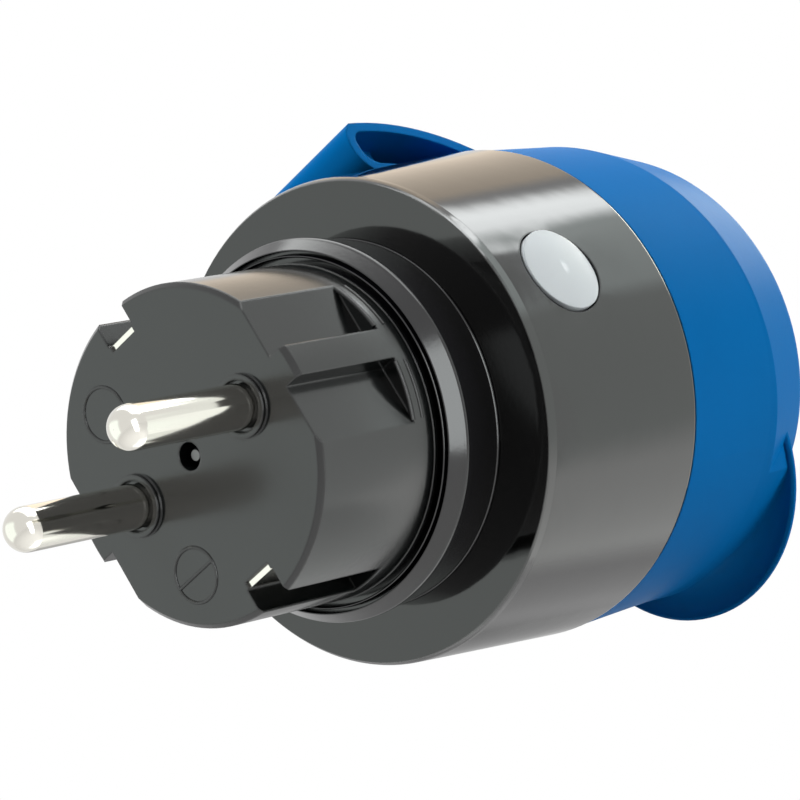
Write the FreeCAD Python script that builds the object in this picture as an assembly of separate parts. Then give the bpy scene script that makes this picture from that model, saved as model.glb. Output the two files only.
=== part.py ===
"""Outdoor plug-in socket with side earth: a round housing that plugs into a wall
socket, with a switched socket in front under a sprung, hinged lid.

Frame: millimetres, +Z up.  The origin is the centre of the plug's face, between
the two pins.  The pins point to +Y, into the wall, and the lid faces -Y.
Depth is measured from the plug's face towards the lid, so y = -depth.
"""
import FreeCAD, Part
import math
import os

V = FreeCAD.Vector
os.makedirs("parts", exist_ok=True)

# Plug: pins, guide flats, earth strips
PIN_RADIUS = 2.4
PIN_LENGTH = 19.0
PIN_SPACING = 19.0
PIN_SHOULDER = 0.8
PIN_SHANK_RADIUS = 2.0
PIN_SHANK_END = 25.0
PIN_RING_INNER = 2.75
PIN_RING_OUTER = 3.35
PIN_RING_HEIGHT = 0.6
PLUG_RADIUS = 18.0
PLUG_EDGE = 0.5
PLUG_DEPTH = 18.3
FLAT_DISTANCE = 15.8
FLAT_HALF_HEIGHT = 8.6
FLAT_LENGTH = 15.0
KEY_HALF_HEIGHT = 1.8
EARTH_NOTCH_HALF = 2.2
EARTH_FACE_HEIGHT = 15.0
STRIP_HALF = 1.95
STRIP_THICKNESS = 0.7
STRIP_START = 0.3

# Rubber ring behind the plug
RING_LIP_RADIUS = 19.3
RING_LIP_STEP = 0.25
RING_LIP_LENGTH = 0.3
RING_RADIUS = 20.6
RING_RIDGE_DEPTH = 20.0
RING_RIDGE_LENGTH = 0.5
RING_END_RADIUS = 19.7

# Housing, from its largest radius at the parting line with the lid
HOUSING_RADIUS = 27.2
HOUSING_TAPER = 0.8
HOUSING_WALL = 1.8
HOUSING_REAR = 26.2
HOUSING_FRONT = 50.5
HOUSING_EDGE = 1.4
HOUSING_FLOOR = 2.0
NECK_RADIUS = 17.5
PLUG_FLANGE_RADIUS = 20.5
PLUG_FLANGE_THICKNESS = 2.0
LEDGE_WIDTH = 1.0
LEDGE_DEPTH = 1.4

# Socket insert
INSERT_FRONT = 64.5
RECESS_DEPTH = 17.5
RECESS_RADIUS = 19.75
RECESS_LEAD = 0.4
COLLAR_WALL = 1.75
COLLAR_EDGE = 0.8
INSERT_FLOOR = 2.0
FLOOR_LIP = 1.5
FLOOR_LIP_THICKNESS = 1.0
INSERT_SETBACK = 0.2
INSERT_SIDE_GAP = 0.8
FLANGE_THICKNESS = 3.3
HOLE_RADIUS = 2.75
HOLE_MOUTH = 0.8
GUIDE_REACH = 16.3
GUIDE_INNER = 2.5
GUIDE_OUTER = 7.9
GUIDE_FRONT_GAP = 3.0
EARTH_SLOT_SIDE = 0.35
EARTH_SLOT_LOW = 2.0
EARTH_SLOT_DEEP = 1.15
EARTH_SLOT_FRONT = 1.2
SEAL_GROOVE_WIDTH = 1.2
SEAL_GROOVE_DEPTH = 1.1
SEAL_GROOVE_PLACE = 1.2
SEAL_BITE = 0.03

# Earth springs of the socket
SPRING_STRIP_INSET = 0.6
SPRING_STRIP_BOW = 1.2
SPRING_STRIP_END = 2.4
SPRING_STRIP_BENDS = (1.5, 8.5, 11.0)

# Lid: its side continues the housing, its front end leans back to the hinge
LID_GAP = 0.3
LID_STEP = 0.1
LID_DRAFT = 0.8
LID_TAPER = 2.3
LID_EDGE = 2.5
LID_EDGE_BULGE = 0.45
LID_WALL = 1.8
LID_CREASE = 65.65
LID_FRONT_ROUND = 73.7
LID_FRONT = 75.0
LID_CROWN = 0.7
LID_TILT = 4.3
LID_SEAL_THICKNESS = 1.6
LID_SEAL_WIDTH = 2.2
LID_SEAL_OUTSET = 0.25
LID_OPEN = 100.0

# Finger tab under the lid
TAB_INSET = 12.5
TAB_RADIUS = 16.9
TAB_FRONT = 71.8
TAB_THICKNESS = 1.0
TAB_ROOT_RADIUS = 12.4
TAB_ROOT_DEPTH = 67.0
TAB_HOLLOW = 0.24
TAB_CROWN = 0.4

# Hinge on top, and the hood over it, from the middle of the hinge pin
HINGE_SETBACK = 6.5
HINGE_LIFT = 1.9
KNUCKLE_RADIUS = 3.7
KNUCKLE_BORE = 2.5
HOOD_HALF_WIDTH = 8.0
HOOD_WALL = 1.2
HOOD_NOSE = (-2.1, 3.1)
HOOD_MIDDLE = (7.1, 1.6)
HOOD_END = (16.6, -3.0)
HOOD_FOOT = 2.0
POCKET_CLEARANCE = 0.5
POCKET_FLOOR = 1.3
POCKET_SIDE_WALL = 1.2
HINGE_PIN_RADIUS = 1.0
HINGE_PIN_CLEARANCE = 0.06
EAR_HALF_WIDTH = 1.1
EAR_RADIUS = 1.9
EAR_CLEARANCE = 0.3
EAR_FOOT_START = 1.2
EAR_FOOT_LENGTH = 3.8
EAR_FOOT_SINK = 1.2
EAR_SHOULDER = 2.0
EAR_NECK_FRONT = (1.6, 0.6)
EAR_NECK_BACK = (0.6, -1.8)
EAR_SWEEP_START = -10.0
EAR_SWEEP_END = 78.0
CHEEK_INNER = 3.0
CHEEK_OUTER = 4.1
CHEEK_INSET = 0.1
SPRING_WIRE = 0.18
SPRING_RADIUS = 1.6
SPRING_LEG = 1.5
SPRING_TURNS = 2
SPRING_GAP = 0.2
SPRING_TURNED = 205.0

# Button on the left side
BUTTON_SETBACK = 9.8
BUTTON_HEIGHT = 0.55
BUTTON_RADIUS = 4.95
BUTTON_CLEARANCE = 0.2
BUTTON_PROUD = 0.36
BUTTON_CROWN = 0.35
BUTTON_FLANGE_RADIUS = 6.2
BUTTON_FLANGE_THICKNESS = 0.8
BUTTON_BOSS_RADIUS = 7.4
BUTTON_BOSS_HEIGHT = 1.6
BUTTON_TRAVEL = 0.8
BUTTON_REST_GAP = 0.3
BUTTON_GROOVE_DEPTH = 0.7
BUTTON_GROOVE_WIDTH = 0.9
BUTTON_GROOVE_PLACE = 1.0
BUTTON_SEAL_HALF = 0.4
PLUNGER_RADIUS = 1.6
PLUNGER_DEPTH = 1.0
PLUNGER_CLEARANCE = 0.15
SWITCH_SIZE = 6.0
SWITCH_HEIGHT = 3.0

# Screw through the middle
SCREW_RADIUS = 1.45
SCREW_HEAD_RADIUS = 2.9
SCREW_HEAD_HEIGHT = 2.2
SCREW_HEAD_EDGE = 0.5
SCREW_SEAT_DEPTH = 0.6
SCREW_TIP = 0.9
SCREW_TIP_RADIUS = 0.6
SCREW_POINT = 2.2
SCREW_SLOT_HALF = 0.35
SCREW_SLOT_LENGTH = 2.0
SCREW_SLOT_DEPTH = 1.1
BOSS_RADIUS = 3.8

# Contacts and bars
SHEET = 0.8
CONTACT_HALF_WIDTH = 2.5
CONTACT_GAP = 2.6
CONTACT_FLARE = 0.6
CONTACT_FLARE_LENGTH = 2.0
CONTACT_STEP = 0.7
POCKET_ROOM = 1.5
POCKET_LOW_LIVE = 8.4
POCKET_LOW = 5.0
BAR_WIDTH = 2.6
LIVE_BAR_LOW = 8.0
SWITCHED_BAR_HIGH = 7.8
SWITCHED_BAR_STEP = 1.2

# Boards and what stands on them; places are counted from the housing's inside
BOARD_THICKNESS = 1.6
BOARD_CLEARANCE = 0.3
CONTROL_BOARD_HALF = 9.0
CONTROL_BOARD_THICKNESS = 1.4
CONTROL_BOARD_GAP = 2.4
RELAY_WIDTH = 7.5
RELAY_HALF_HEIGHT = 8.0
RELAY_LENGTH = 10.4
RELAY_INSET = 2.6
FILM_SIZE = (8.5, 10.0, 7.0)
FILM_PLACE = (4.5, 6.6)
CAN_RADIUS = 4.0
CAN_LENGTH = 10.5
CAN_PLACE = (-11.0, 9.8)
FUSE_RADIUS = 4.2
FUSE_LENGTH = 8.0
FUSE_PLACE = (9.0, 9.4)
CHOKE_RADIUS = 4.2
CHOKE_WAIST = 3.4
CHOKE_LENGTH = 8.5
CHOKE_CHEEK = 1.2
CHOKE_PLACE = (-10.5, 9.6)
RADIO_THICKNESS = 2.2
RADIO_LENGTH = 9.0
RADIO_HALF_HEIGHT = 7.5
RADIO_GAP = 0.4
LIGHT_SIZE = 1.6
LIGHT_HEIGHT = 1.1
LIGHT_LOW = 4.2

# Fits and small steps used throughout
FIT = 0.1
SNUG = 0.05
WALL_SINK = 0.3

# Worked out from the sizes above
PIN_X = PIN_SPACING / 2
HOUSING_REAR_RADIUS = HOUSING_RADIUS - HOUSING_TAPER
HOUSING_INNER_RADIUS = HOUSING_REAR_RADIUS - HOUSING_WALL
RECESS_FLOOR = INSERT_FRONT - RECESS_DEPTH
INSERT_BACK = RECESS_FLOOR - INSERT_FLOOR
COLLAR_RADIUS = RECESS_RADIUS + COLLAR_WALL
FLANGE_RADIUS = HOUSING_INNER_RADIUS - FIT
FLANGE_FRONT = HOUSING_FRONT - INSERT_SETBACK
FLANGE_BACK = FLANGE_FRONT - FLANGE_THICKNESS
SEAL_FRONT = FLANGE_FRONT - SEAL_GROOVE_PLACE
BOARD_BACK = INSERT_BACK - BOARD_THICKNESS
PLUG_BACK = HOUSING_REAR + HOUSING_FLOOR + PLUG_FLANGE_THICKNESS
BOSS_JOINT = BOARD_BACK - 4 * FIT
SCREW_SEAT = INSERT_BACK - SCREW_SEAT_DEPTH
LID_REAR = HOUSING_FRONT + LID_GAP
LID_RIM_RADIUS = HOUSING_RADIUS - LID_STEP
LID_CREASE_RADIUS = LID_RIM_RADIUS - LID_DRAFT
LID_FRONT_RADIUS = LID_CREASE_RADIUS - LID_TAPER
LID_FACE_RADIUS = LID_FRONT_RADIUS - LID_EDGE
TAB_CENTRE = LID_CREASE_RADIUS - TAB_INSET
HINGE_DEPTH = HOUSING_FRONT - HINGE_SETBACK
HINGE_HEIGHT = HOUSING_RADIUS + HINGE_LIFT
POCKET_RADIUS = KNUCKLE_RADIUS + POCKET_CLEARANCE
BUTTON_DEPTH = HOUSING_REAR + BUTTON_SETBACK
BUTTON_SIDE_RADIUS = HOUSING_REAR_RADIUS + HOUSING_TAPER * (
    BUTTON_DEPTH - HOUSING_REAR - HOUSING_EDGE) / (HOUSING_FRONT - HOUSING_REAR - HOUSING_EDGE)
BUTTON_FACE = BUTTON_SIDE_RADIUS + BUTTON_PROUD
BUTTON_BOSS_FACE = HOUSING_INNER_RADIUS - BUTTON_BOSS_HEIGHT
BUTTON_INNER = BUTTON_BOSS_FACE - BUTTON_REST_GAP - BUTTON_FLANGE_THICKNESS
CONTROL_BOARD_FACE = BUTTON_INNER - BUTTON_TRAVEL - 2 * FIT - SWITCH_HEIGHT
RELAY_BACK = BOARD_BACK - RELAY_LENGTH
RELAY_X = HOUSING_INNER_RADIUS - RELAY_INSET - RELAY_WIDTH
EARTH_SPRING_OUTER = RECESS_RADIUS - SPRING_STRIP_INSET


def point(x, depth, height):
    """A place given by its depth from the plug's face."""
    return V(x, -depth, height)


def ring_face(outline):
    corners = [point(radius, depth, 0) for radius, depth in outline]
    return Part.Face(Part.makePolygon(corners + corners[:1]))


def spun(outline):
    """Turned solid about the plug's axis, from (radius, depth) corners."""
    return ring_face(outline).revolve(V(0, 0, 0), V(0, 1, 0), 360)


def spun_edges(edges):
    """Turned solid about the plug's axis, from joined edges in the x, depth plane."""
    face = Part.Face(Part.Wire(edges))
    return face.revolve(V(0, 0, 0), V(0, 1, 0), 360)


def rod(radius, back, front, x=0.0, z=0.0):
    """Cylinder along the plug's axis, between two depths."""
    return Part.makeCylinder(radius, front - back, point(x, back, z), V(0, -1, 0))


def cross_rod(radius, x0, x1, depth, z):
    """Cylinder from side to side."""
    return Part.makeCylinder(radius, x1 - x0, point(x0, depth, z), V(1, 0, 0))


def block(x0, x1, back, front, z0, z1):
    return Part.makeBox(x1 - x0, front - back, z1 - z0, V(x0, -front, z0))


def line(start, end):
    return Part.LineSegment(start, end).toShape()


def arc(start, middle, end):
    return Part.Arc(start, middle, end).toShape()


def pushed(edges, half_width):
    """Solid of a closed side outline, extruded to both sides of the middle plane."""
    face = Part.Face(Part.Wire(edges))
    face.translate(V(-half_width, 0, 0))
    return face.extrude(V(2 * half_width, 0, 0))


def side_polygon(corners, x0, x1):
    """Solid of (depth, height) corners, extruded from x0 to x1."""
    points = [point(x0, depth, height) for depth, height in corners]
    face = Part.Face(Part.makePolygon(points + points[:1]))
    return face.extrude(V(x1 - x0, 0, 0))


def flipped(shape):
    """The same shape turned half a turn about the plug's axis."""
    turned = shape.copy()
    turned.rotate(V(0, 0, 0), V(0, 1, 0), 180)
    return turned


def both(shape):
    return [shape, flipped(shape)]


def dome_drop(radius, height):
    """How far a round dome has dropped halfway out from its middle."""
    sphere = (radius ** 2 + height ** 2) / (2 * height)
    return sphere - math.sqrt(sphere ** 2 - (radius / 2) ** 2)


def cut_all(shape, tools):
    for tool in tools:
        shape = shape.cut(tool)
    return shape


def fuse_all(shapes):
    whole = shapes[0]
    for shape in shapes[1:]:
        whole = whole.fuse(shape)
    return whole.removeSplitter()


def contact_pocket(low):
    """Room in the plug body behind one pin, from a low edge up past the contact."""
    half = CONTACT_HALF_WIDTH + POCKET_ROOM
    return block(-half, half, PIN_SHANK_END, PLUG_BACK + 1, -low, POCKET_LOW)


def plug_body():
    body = spun([
        (0, 0), (PLUG_RADIUS - PLUG_EDGE, 0), (PLUG_RADIUS, PLUG_EDGE),
        (PLUG_RADIUS, PLUG_DEPTH), (NECK_RADIUS, PLUG_DEPTH),
        (NECK_RADIUS, HOUSING_REAR + HOUSING_FLOOR),
        (PLUG_FLANGE_RADIUS, HOUSING_REAR + HOUSING_FLOOR),
        (PLUG_FLANGE_RADIUS, PLUG_BACK), (BOSS_RADIUS, PLUG_BACK),
        (BOSS_RADIUS, BOSS_JOINT), (0, BOSS_JOINT)])
    flat = block(FLAT_DISTANCE, PLUG_RADIUS + 1, -1, FLAT_LENGTH,
                 KEY_HALF_HEIGHT, FLAT_HALF_HEIGHT)
    lower_flat = flat.mirror(V(0, 0, 0), V(0, 0, 1))
    notch = block(-EARTH_NOTCH_HALF, EARTH_NOTCH_HALF, -1, FLAT_LENGTH,
                  EARTH_FACE_HEIGHT, PLUG_RADIUS + 1)
    slot = block(-STRIP_HALF, STRIP_HALF, -1, PLUG_BACK + 1,
                 EARTH_FACE_HEIGHT - STRIP_THICKNESS, EARTH_FACE_HEIGHT)
    cuts = both(flat) + both(lower_flat) + both(notch) + both(slot)
    left_pocket = contact_pocket(POCKET_LOW_LIVE)
    left_pocket.translate(V(-PIN_X, 0, 0))
    right_pocket = contact_pocket(POCKET_LOW)
    right_pocket.translate(V(PIN_X, 0, 0))
    cuts += [left_pocket, right_pocket, rod(SCREW_RADIUS + SNUG, -1, BOSS_JOINT + 1)]
    for x in (-PIN_X, PIN_X):
        ring = rod(PIN_RING_OUTER, -PIN_RING_HEIGHT, PLUG_EDGE, x)
        body = body.fuse(ring.cut(rod(PIN_RING_INNER, -1, PLUG_EDGE, x)))
        cuts.append(rod(PIN_SHANK_RADIUS, -1, PIN_SHANK_END + FIT, x))
    return cut_all(body, cuts)


def pin(x):
    """Round pin with a domed end; its thinner shank is held in the plug body."""
    tip = -PIN_LENGTH
    dome = tip + PIN_RADIUS
    corner = PIN_RADIUS * math.sqrt(0.5)
    steps = [(PIN_RADIUS, dome), (PIN_RADIUS, -PIN_SHOULDER), (PIN_SHANK_RADIUS, -PIN_SHOULDER),
             (PIN_SHANK_RADIUS, PIN_SHANK_END), (0, PIN_SHANK_END), (0, tip)]
    places = [point(radius, depth, 0) for radius, depth in steps]
    edges = [arc(places[-1], point(corner, dome - corner, 0), places[0])]
    edges += [line(places[i], places[i + 1]) for i in range(len(places) - 1)]
    solid = spun_edges(edges)
    solid.translate(V(x, 0, 0))
    return solid


def earth_strip():
    return block(-STRIP_HALF, STRIP_HALF, STRIP_START, PLUG_BACK,
                 EARTH_FACE_HEIGHT - STRIP_THICKNESS, EARTH_FACE_HEIGHT)


def plug_ring():
    """Soft ring that closes the gap to the wall socket."""
    inner = NECK_RADIUS + SNUG
    return spun([
        (inner, PLUG_DEPTH), (RING_LIP_RADIUS, PLUG_DEPTH),
        (RING_LIP_RADIUS + RING_LIP_STEP, PLUG_DEPTH + RING_LIP_LENGTH),
        (RING_RADIUS, RING_RIDGE_DEPTH), (RING_RADIUS, RING_RIDGE_DEPTH + RING_RIDGE_LENGTH),
        (RING_END_RADIUS, HOUSING_REAR), (inner, HOUSING_REAR)])


def housing_shell():
    front = point(HOUSING_RADIUS, HOUSING_FRONT, 0)
    floor = HOUSING_REAR + HOUSING_FLOOR
    hole = NECK_RADIUS + FIT
    face_end = HOUSING_REAR_RADIUS - HOUSING_EDGE
    corner = HOUSING_EDGE * (1 - math.sqrt(0.5))
    edges = [
        line(point(hole, HOUSING_REAR, 0), point(face_end, HOUSING_REAR, 0)),
        arc(point(face_end, HOUSING_REAR, 0),
            point(HOUSING_REAR_RADIUS - corner, HOUSING_REAR + corner, 0),
            point(HOUSING_REAR_RADIUS, HOUSING_REAR + HOUSING_EDGE, 0)),
        line(point(HOUSING_REAR_RADIUS, HOUSING_REAR + HOUSING_EDGE, 0), front),
        line(front, point(HOUSING_INNER_RADIUS, HOUSING_FRONT, 0)),
        line(point(HOUSING_INNER_RADIUS, HOUSING_FRONT, 0),
             point(HOUSING_INNER_RADIUS, floor, 0)),
        line(point(HOUSING_INNER_RADIUS, floor, 0), point(hole, floor, 0)),
        line(point(hole, floor, 0), point(hole, HOUSING_REAR, 0))]
    return spun_edges(edges)


def hinge_ear():
    """Upright on the housing that carries the hinge pin."""
    foot_back = HINGE_DEPTH + EAR_FOOT_START
    foot_front = foot_back + EAR_FOOT_LENGTH
    foot = HOUSING_REAR_RADIUS - EAR_FOOT_SINK
    neck = side_polygon([
        (foot_back, foot), (foot_front, foot), (foot_front, HINGE_HEIGHT - EAR_SHOULDER),
        (HINGE_DEPTH + EAR_NECK_FRONT[0], HINGE_HEIGHT + EAR_NECK_FRONT[1]),
        (HINGE_DEPTH + EAR_NECK_BACK[0], HINGE_HEIGHT + EAR_NECK_BACK[1])],
        -EAR_HALF_WIDTH, EAR_HALF_WIDTH)
    eye = cross_rod(EAR_RADIUS, -EAR_HALF_WIDTH, EAR_HALF_WIDTH, HINGE_DEPTH, HINGE_HEIGHT)
    bore = cross_rod(HINGE_PIN_RADIUS + HINGE_PIN_CLEARANCE, -EAR_HALF_WIDTH - 1,
                     EAR_HALF_WIDTH + 1, HINGE_DEPTH, HINGE_HEIGHT)
    return neck.fuse(eye), bore


def main_housing():
    shell = housing_shell()
    ledge_top = FLANGE_BACK
    ledge = spun([
        (HOUSING_INNER_RADIUS - LEDGE_WIDTH, ledge_top - LEDGE_DEPTH),
        (HOUSING_INNER_RADIUS + 0.2, ledge_top - LEDGE_DEPTH - LEDGE_WIDTH),
        (HOUSING_INNER_RADIUS + 0.2, ledge_top),
        (HOUSING_INNER_RADIUS - LEDGE_WIDTH, ledge_top)])
    pocket_half = HOOD_HALF_WIDTH + POCKET_CLEARANCE
    pocket = cross_rod(POCKET_RADIUS, -pocket_half, pocket_half, HINGE_DEPTH, HINGE_HEIGHT)
    pad_half = pocket_half + POCKET_SIDE_WALL
    pad = block(-pad_half, pad_half, HINGE_DEPTH - POCKET_RADIUS, ledge_top,
                HINGE_HEIGHT - POCKET_RADIUS - POCKET_FLOOR, HOUSING_INNER_RADIUS)
    pad = pad.common(rod(HOUSING_INNER_RADIUS + 0.2, HOUSING_REAR, HOUSING_FRONT))
    boss = cross_rod(BUTTON_BOSS_RADIUS, -HOUSING_INNER_RADIUS - 0.5, -BUTTON_BOSS_FACE,
                     BUTTON_DEPTH, BUTTON_HEIGHT)
    boss = boss.common(rod(HOUSING_INNER_RADIUS + 0.5, HOUSING_REAR, HOUSING_FRONT))
    hole = cross_rod(BUTTON_RADIUS + BUTTON_CLEARANCE, -HOUSING_RADIUS - 1,
                     -BUTTON_BOSS_FACE + 1, BUTTON_DEPTH, BUTTON_HEIGHT)
    ear, bore = hinge_ear()
    body = fuse_all([shell, ledge, pad, boss])
    body = body.cut(pocket).cut(hole)
    return body.fuse(ear).cut(bore).removeSplitter()


def earth_slots():
    """Ways for the earth springs, through the insert's floor and along its wall."""
    half = STRIP_HALF + EARTH_SLOT_SIDE
    return both(block(-half, half, INSERT_BACK - 1, INSERT_FRONT - EARTH_SLOT_FRONT,
                      EARTH_FACE_HEIGHT + EARTH_SLOT_LOW, RECESS_RADIUS + EARTH_SLOT_DEEP))


def socket_insert():
    """Collar of the round recess with its guide ribs; a lip at the back carries the floor."""
    side = HOUSING_INNER_RADIUS - LEDGE_WIDTH - INSERT_SIDE_GAP
    groove_back = SEAL_FRONT - SEAL_GROOVE_WIDTH
    groove = FLANGE_RADIUS - SEAL_GROOVE_DEPTH
    lip = RECESS_RADIUS - FLOOR_LIP
    lip_front = INSERT_BACK + FLOOR_LIP_THICKNESS
    body = spun([
        (lip, INSERT_BACK), (side, INSERT_BACK), (side, FLANGE_BACK),
        (FLANGE_RADIUS, FLANGE_BACK), (FLANGE_RADIUS, groove_back),
        (groove, groove_back), (groove, SEAL_FRONT), (FLANGE_RADIUS, SEAL_FRONT),
        (FLANGE_RADIUS, FLANGE_FRONT), (COLLAR_RADIUS, FLANGE_FRONT),
        (COLLAR_RADIUS, INSERT_FRONT - COLLAR_EDGE),
        (COLLAR_RADIUS - COLLAR_EDGE, INSERT_FRONT),
        (RECESS_RADIUS + RECESS_LEAD, INSERT_FRONT),
        (RECESS_RADIUS, INSERT_FRONT - RECESS_LEAD),
        (RECESS_RADIUS, lip_front), (lip, lip_front)])
    inside = rod(RECESS_RADIUS + WALL_SINK, RECESS_FLOOR, INSERT_FRONT)
    guide = block(GUIDE_REACH, RECESS_RADIUS + 1, RECESS_FLOOR,
                  INSERT_FRONT - GUIDE_FRONT_GAP, GUIDE_INNER, GUIDE_OUTER).common(inside)
    lower_guide = guide.mirror(V(0, 0, 0), V(0, 0, 1))
    return cut_all(fuse_all([body] + both(guide) + both(lower_guide)), earth_slots())


def socket_floor():
    """Floor of the recess with the pin holes; the centre screw clamps it on the collar's lip."""
    step = INSERT_BACK + FLOOR_LIP_THICKNESS
    lip = RECESS_RADIUS - FLOOR_LIP - FIT
    plate = spun([(0, BOSS_JOINT), (BOSS_RADIUS, BOSS_JOINT), (BOSS_RADIUS, INSERT_BACK),
                  (lip, INSERT_BACK), (lip, step), (RECESS_RADIUS - FIT, step),
                  (RECESS_RADIUS - FIT, RECESS_FLOOR), (0, RECESS_FLOOR)])
    cuts = earth_slots()
    for x in (-PIN_X, PIN_X):
        cuts.append(rod(HOLE_RADIUS, INSERT_BACK - 1, INSERT_FRONT, x))
        mouth = Part.makeCone(HOLE_RADIUS, HOLE_RADIUS + HOLE_MOUTH, HOLE_MOUTH,
                              point(x, RECESS_FLOOR - HOLE_MOUTH, 0), V(0, -1, 0))
        cuts.append(mouth)
    cuts.append(rod(SCREW_HEAD_RADIUS + 2 * FIT, SCREW_SEAT, INSERT_FRONT))
    cuts.append(rod(SCREW_RADIUS + FIT, BOSS_JOINT - 1, SCREW_SEAT + 1))
    return cut_all(plate, cuts)


def centre_screw():
    head = SCREW_SEAT + SCREW_HEAD_HEIGHT
    body = spun([
        (0, SCREW_TIP), (SCREW_TIP_RADIUS, SCREW_TIP), (SCREW_RADIUS, SCREW_TIP + SCREW_POINT),
        (SCREW_RADIUS, SCREW_SEAT), (SCREW_HEAD_RADIUS, SCREW_SEAT),
        (SCREW_HEAD_RADIUS, head - SCREW_HEAD_EDGE), (SCREW_HEAD_RADIUS - SCREW_HEAD_EDGE, head),
        (0, head)])
    half, reach, floor = SCREW_SLOT_HALF, SCREW_SLOT_LENGTH, head - SCREW_SLOT_DEPTH
    upright = block(-half, half, floor, head + 1, -reach, reach)
    level = block(-reach, reach, floor, head + 1, -half, half)
    return body.cut(upright).cut(level)


def housing_seal():
    inner = FLANGE_RADIUS - SEAL_GROOVE_DEPTH
    outer = HOUSING_INNER_RADIUS - SEAL_BITE
    back = SEAL_FRONT - SEAL_GROOVE_WIDTH
    return spun([(inner, back), (outer, back), (outer, SEAL_FRONT), (inner, SEAL_FRONT)])


def earth_spring():
    """Sprung earth contact: a bowed strip that stands into the recess."""
    back = PLUG_BACK + FIT + SHEET
    outer = EARTH_SPRING_OUTER
    bow = EARTH_FACE_HEIGHT + SPRING_STRIP_BOW + SHEET
    first, second, third = [RECESS_FLOOR + bend for bend in SPRING_STRIP_BENDS]
    top = [(back, outer), (first, outer), (second, bow), (third, bow),
           (INSERT_FRONT - SPRING_STRIP_END, outer)]
    under = [(depth, height - SHEET) for depth, height in reversed(top)]
    return side_polygon(top + under, -STRIP_HALF, STRIP_HALF)


def earth_bridge():
    """Half ring that joins both earth strips of the plug to both earth springs."""
    inner = EARTH_FACE_HEIGHT - STRIP_THICKNESS
    outer = EARTH_SPRING_OUTER
    back = PLUG_BACK
    ring = rod(outer, back, back + SHEET).cut(rod(inner, back - 1, back + 2))
    keep = block(-outer - 1, STRIP_HALF, back - 1, back + 2, -outer - 1, outer + 1)
    return ring.common(keep)


def contact(x, back):
    """Fork of two leaves that grips one pin of the plug put in from the front."""
    half = CONTACT_HALF_WIDTH
    front = INSERT_BACK - 4 * FIT
    bend = front - CONTACT_FLARE_LENGTH
    gap = CONTACT_GAP
    top = [(back, gap + SHEET), (bend, gap + SHEET), (front, gap + SHEET + CONTACT_FLARE),
           (front, gap + CONTACT_FLARE), (bend, gap), (back, gap)]
    leaf = side_polygon(top, x - half, x + half)
    lower = leaf.mirror(V(0, 0, 0), V(0, 0, 1))
    base = block(x - half, x + half, back, back + SHEET, -gap - SHEET, gap + SHEET)
    return fuse_all([leaf, lower, base])


def live_bar():
    """Carries the current from the left pin to the relay."""
    left = -PIN_X - 1.5 * SHEET
    right = -PIN_X + PIN_SHANK_RADIUS
    low = -LIVE_BAR_LOW
    foot = block(left, right, PIN_SHANK_END, PIN_SHANK_END + SHEET, low, PIN_RADIUS)
    riser = block(left, right, PIN_SHANK_END, RELAY_BACK, low, low + SHEET)
    cross = block(left, RELAY_X + RELAY_WIDTH / 2, RELAY_BACK - SHEET, RELAY_BACK,
                  low, low + BAR_WIDTH)
    return fuse_all([foot, riser, cross])


def switched_bar():
    """Brings the current back from the relay to the left contact."""
    back = RELAY_BACK + SWITCHED_BAR_STEP
    high = SWITCHED_BAR_HIGH
    tongue = block(-PIN_X - CONTACT_HALF_WIDTH, -PIN_X + CONTACT_HALF_WIDTH,
                   back, back + SHEET, CONTACT_GAP + SHEET, high)
    cross = block(-PIN_X, RELAY_X, back, back + SHEET, high - BAR_WIDTH, high)
    return fuse_all([tongue, cross])


def main_board():
    radius = HOUSING_INNER_RADIUS - LEDGE_WIDTH - BOARD_CLEARANCE
    board = rod(radius, BOARD_BACK, INSERT_BACK)
    low, high = BOARD_BACK - 1, INSERT_BACK + 1
    half = CONTACT_HALF_WIDTH + BOARD_CLEARANCE
    reach = CONTACT_GAP + SHEET + CONTACT_FLARE + BOARD_CLEARANCE
    cuts = [rod(BOSS_RADIUS + BOARD_CLEARANCE, low, high)]
    for x in (-PIN_X, PIN_X):
        cuts.append(block(x - half, x + half, low, high, -reach, reach))
    slot_half = STRIP_HALF + BOARD_CLEARANCE
    slot = block(-slot_half, slot_half, low, high, EARTH_SPRING_OUTER - SHEET - BOARD_CLEARANCE,
                 EARTH_SPRING_OUTER + BOARD_CLEARANCE)
    return cut_all(board, cuts + both(slot))


def control_board():
    return block(-CONTROL_BOARD_FACE, -CONTROL_BOARD_FACE + CONTROL_BOARD_THICKNESS,
                 PLUG_BACK + CONTROL_BOARD_GAP, BOARD_BACK, -CONTROL_BOARD_HALF, CONTROL_BOARD_HALF)


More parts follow.
